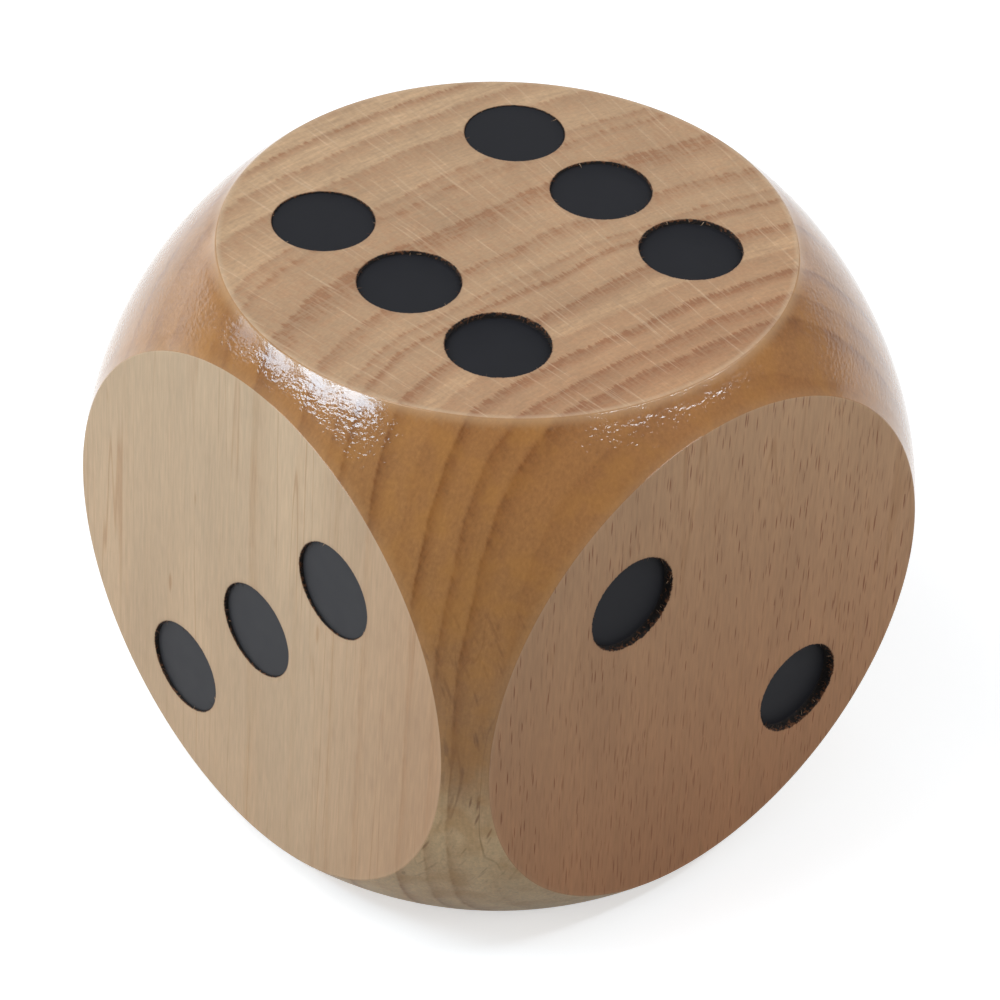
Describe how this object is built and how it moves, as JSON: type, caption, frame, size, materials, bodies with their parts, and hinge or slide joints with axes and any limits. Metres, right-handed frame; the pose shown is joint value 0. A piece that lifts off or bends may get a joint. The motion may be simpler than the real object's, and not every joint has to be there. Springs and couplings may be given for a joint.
{
  "type": "wooden die",
  "caption": "Six-sided die of solid wood with ball-rounded edges and corners, flat faces and sunk black pips, for dice games.",
  "frame": {"origin": "centre of the cube, midway between every pair of opposite flats", "axes": "+Z out of the six, along the grain; +X out of the two; -Y out of the three; the die rests on the one at -Z"},
  "size_m": [0.05, 0.05, 0.05],
  "materials": {
    "wood": "beech, sanded on the flats, clear varnish on the rounded surface",
    "pip_film": "satin black hot-stamping film"
  },
  "bodies": {
    "root": {"body": "wood", "pip_one": "pip_film", "pips_two": "pip_film", "pips_three": "pip_film", "pips_four": "pip_film", "pips_five": "pip_film", "pips_six": "pip_film"}
  },
  "joints": []
}
